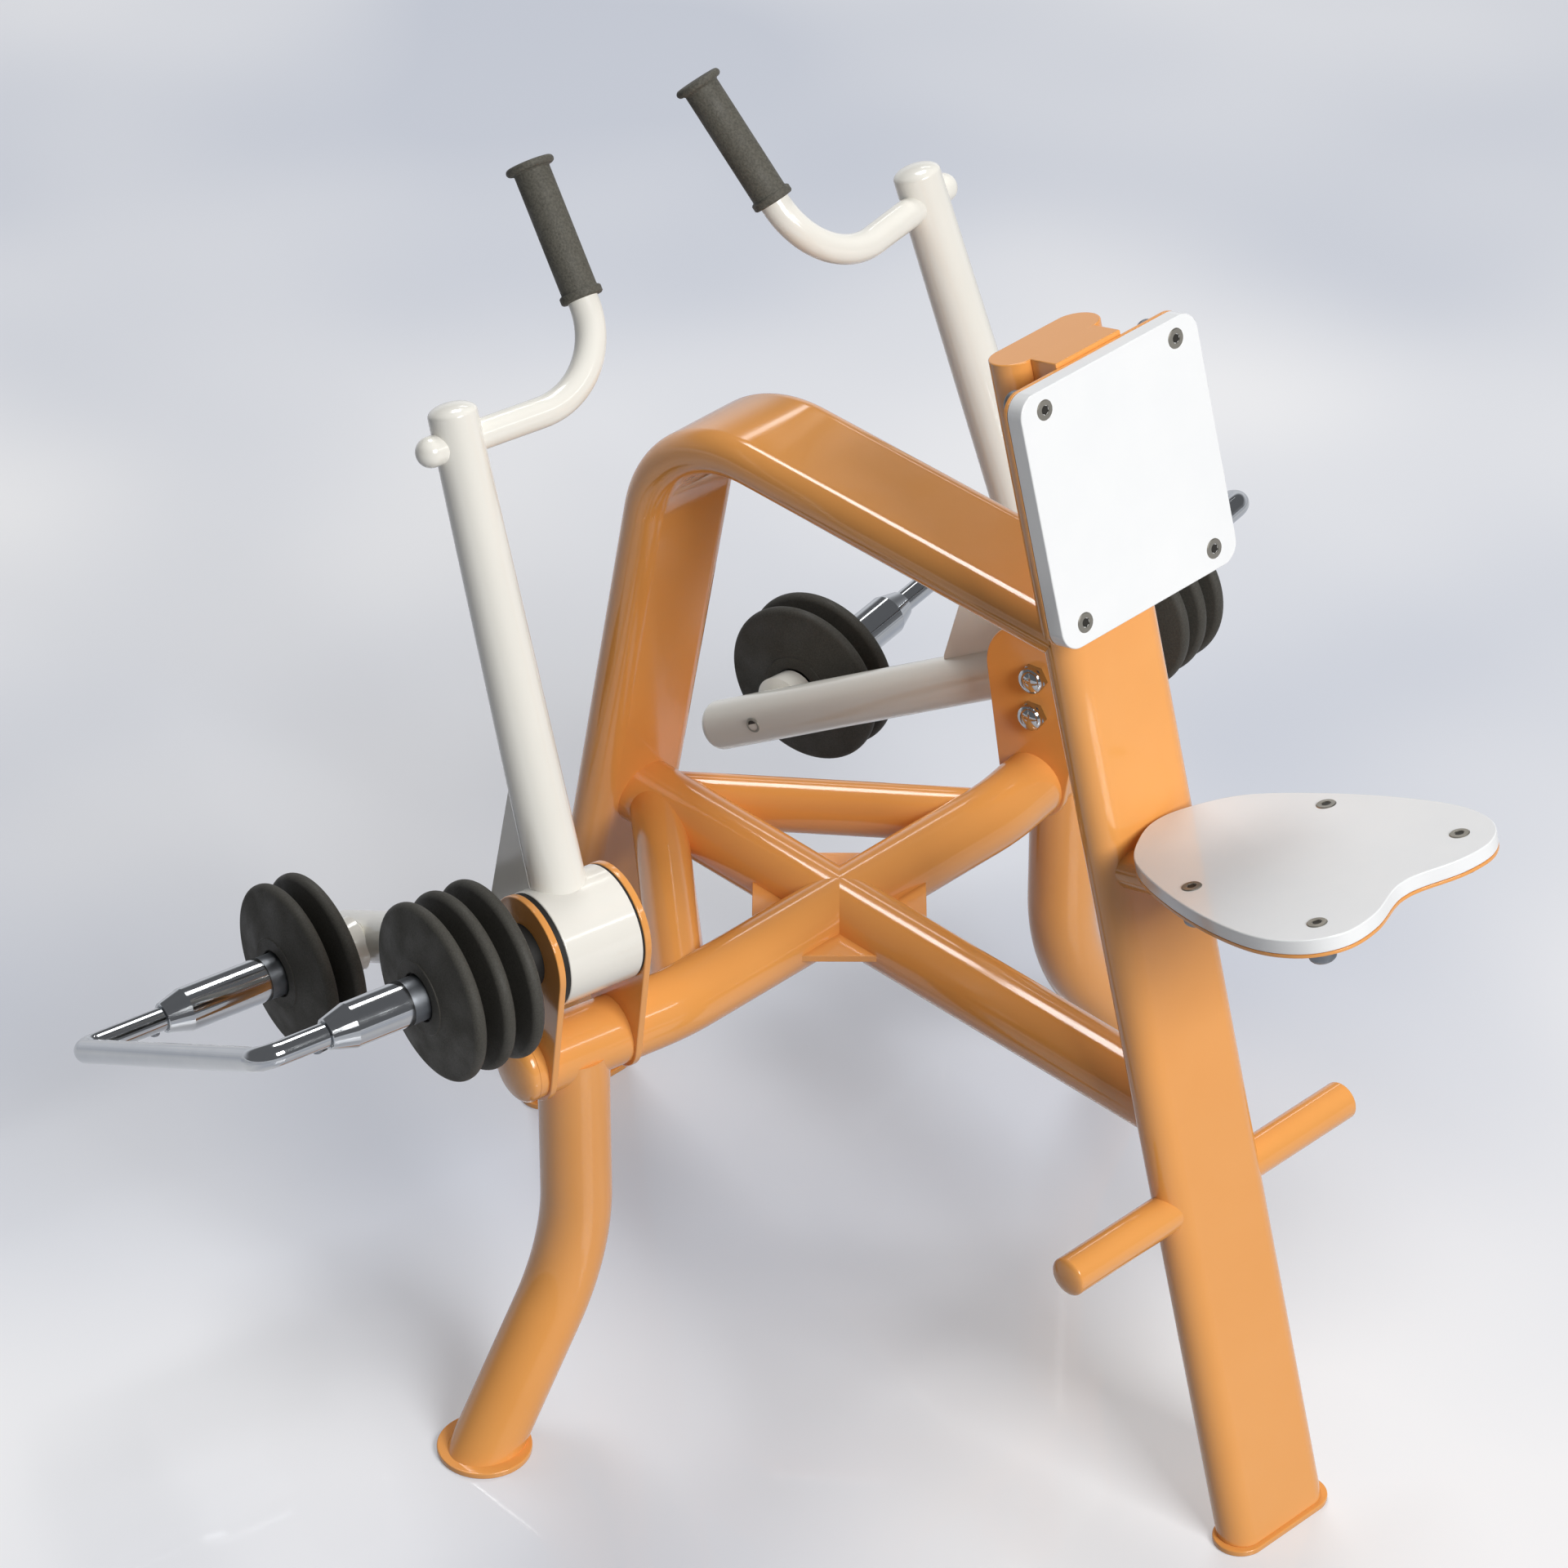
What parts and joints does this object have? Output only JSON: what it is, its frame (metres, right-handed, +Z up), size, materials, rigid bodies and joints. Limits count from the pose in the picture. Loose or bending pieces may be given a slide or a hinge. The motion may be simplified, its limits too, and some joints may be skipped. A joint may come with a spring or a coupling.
{
  "type": "outdoor rowing machine",
  "caption": "Free-standing outdoor rowing machine with a saddle seat, a chest pad, a foot bar and two swing levers loaded by sliding discs.",
  "frame": {"origin": "on the ground in the middle of the outline, in the mirror plane", "axes": "+Z up, +Y the way the machine faces, away from the user, +X to the right of the user"},
  "size_m": [1.4824, 1.3252, 1.3151],
  "materials": {
    "orange_paint": "glossy powder coat",
    "white_paint": "glossy powder coat",
    "board_plastic": "solid-coloured polyethylene board, fine satin grain",
    "disc_rubber": "iron under a dark matte rubber coat",
    "grip_rubber": "matte",
    "washer_plastic": "satin",
    "chrome": "polished"
  },
  "bodies": {
    "frame": {"main_post": "orange_paint", "post_foot_plate": "orange_paint", "arch_tube": "orange_paint", "arch_foot_plate": "orange_paint", "cross_tube": "orange_paint", "spine_front": "orange_paint", "spine_rear": "orange_paint", "foot_bar": "orange_paint", "seat_bracket": "orange_paint", "seat_plate": "orange_paint", "seat_board": "board_plastic", "pad_spacer": "orange_paint", "pad_plate": "orange_paint", "pad_board": "board_plastic", "cross_tube_cap_left": "orange_paint", "brace_left": "orange_paint", "leg_left": "orange_paint", "leg_foot_plate_left": "orange_paint", "bracket_inner_left": "orange_paint", "bracket_outer_left": "orange_paint", "hub_washer_inner_left": "washer_plastic", "hub_washer_outer_left": "washer_plastic", "axle_left": "chrome", "stop_pin_left": "chrome", "cross_tube_cap_right": "orange_paint", "brace_right": "orange_paint", "leg_right": "orange_paint", "leg_foot_plate_right": "orange_paint", "bracket_inner_right": "orange_paint", "bracket_outer_right": "orange_paint", "hub_washer_inner_right": "washer_plastic", "hub_washer_outer_right": "washer_plastic", "axle_right": "chrome", "stop_pin_right": "chrome"},
    "lever_right": {"lever_hub_right": "white_paint", "lever_tube_right": "white_paint", "lever_gusset_right": "white_paint", "arm_tube_right": "white_paint", "front_shaft_right": "chrome", "load_bar_right": "chrome", "handle_bar_right": "white_paint", "hand_grip_right": "grip_rubber"},
    "rear_disc_inner_right": {"disc_rear_inner_right": "disc_rubber"},
    "rear_disc_middle_right": {"disc_rear_middle_right": "disc_rubber"},
    "rear_disc_outer_right": {"disc_rear_outer_right": "disc_rubber"},
    "front_disc_inner_right": {"disc_front_inner_right": "disc_rubber"},
    "front_disc_outer_right": {"disc_front_outer_right": "disc_rubber"},
    "lever_left": {"lever_hub_left": "white_paint", "lever_tube_left": "white_paint", "lever_gusset_left": "white_paint", "arm_tube_left": "white_paint", "front_shaft_left": "chrome", "load_bar_left": "chrome", "handle_bar_left": "white_paint", "hand_grip_left": "grip_rubber"},
    "rear_disc_inner_left": {"disc_rear_inner_left": "disc_rubber"},
    "rear_disc_middle_left": {"disc_rear_middle_left": "disc_rubber"},
    "rear_disc_outer_left": {"disc_rear_outer_left": "disc_rubber"},
    "front_disc_inner_left": {"disc_front_inner_left": "disc_rubber"},
    "front_disc_outer_left": {"disc_front_outer_left": "disc_rubber"}
  },
  "joints": [
    {"name": "lever_swing_right", "type": "hinge", "parent": "frame", "child": "lever_right", "pos_m": [0.36907, 0.15908, 0.6016], "axis": [0.9833, 0.1822, 0], "range_deg": [0, 50]},
    {"name": "rear_disc_inner_right_slide", "type": "slide", "parent": "frame", "child": "rear_disc_inner_right", "axis": [0.9833, 0.1822, 0], "range_m": [0, 0.05]},
    {"name": "rear_disc_middle_right_slide", "type": "slide", "parent": "rear_disc_inner_right", "child": "rear_disc_middle_right", "axis": [0.9833, 0.1822, 0], "range_m": [0, 0.05]},
    {"name": "rear_disc_outer_right_slide", "type": "slide", "parent": "rear_disc_middle_right", "child": "rear_disc_outer_right", "axis": [0.9833, 0.1822, 0], "range_m": [0, 0.05]},
    {"name": "front_disc_inner_right_slide", "type": "slide", "parent": "lever_right", "child": "front_disc_inner_right", "axis": [0.9833, 0.1822, 0], "range_m": [0, 0.1]},
    {"name": "front_disc_outer_right_slide", "type": "slide", "parent": "front_disc_inner_right", "child": "front_disc_outer_right", "axis": [0.9833, 0.1822, 0], "range_m": [0, 0.1]},
    {"name": "lever_swing_left", "type": "hinge", "parent": "frame", "child": "lever_left", "pos_m": [-0.36907, 0.15908, 0.6016], "axis": [0.9833, -0.1822, 0], "range_deg": [0, 50]},
    {"name": "rear_disc_inner_left_slide", "type": "slide", "parent": "frame", "child": "rear_disc_inner_left", "axis": [-0.9833, 0.1822, 0], "range_m": [0, 0.05]},
    {"name": "rear_disc_middle_left_slide", "type": "slide", "parent": "rear_disc_inner_left", "child": "rear_disc_middle_left", "axis": [-0.9833, 0.1822, 0], "range_m": [0, 0.05]},
    {"name": "rear_disc_outer_left_slide", "type": "slide", "parent": "rear_disc_middle_left", "child": "rear_disc_outer_left", "axis": [-0.9833, 0.1822, 0], "range_m": [0, 0.05]},
    {"name": "front_disc_inner_left_slide", "type": "slide", "parent": "lever_left", "child": "front_disc_inner_left", "axis": [-0.9833, 0.1822, 0], "range_m": [0, 0.1]},
    {"name": "front_disc_outer_left_slide", "type": "slide", "parent": "front_disc_inner_left", "child": "front_disc_outer_left", "axis": [-0.9833, 0.1822, 0], "range_m": [0, 0.1]}
  ]
}
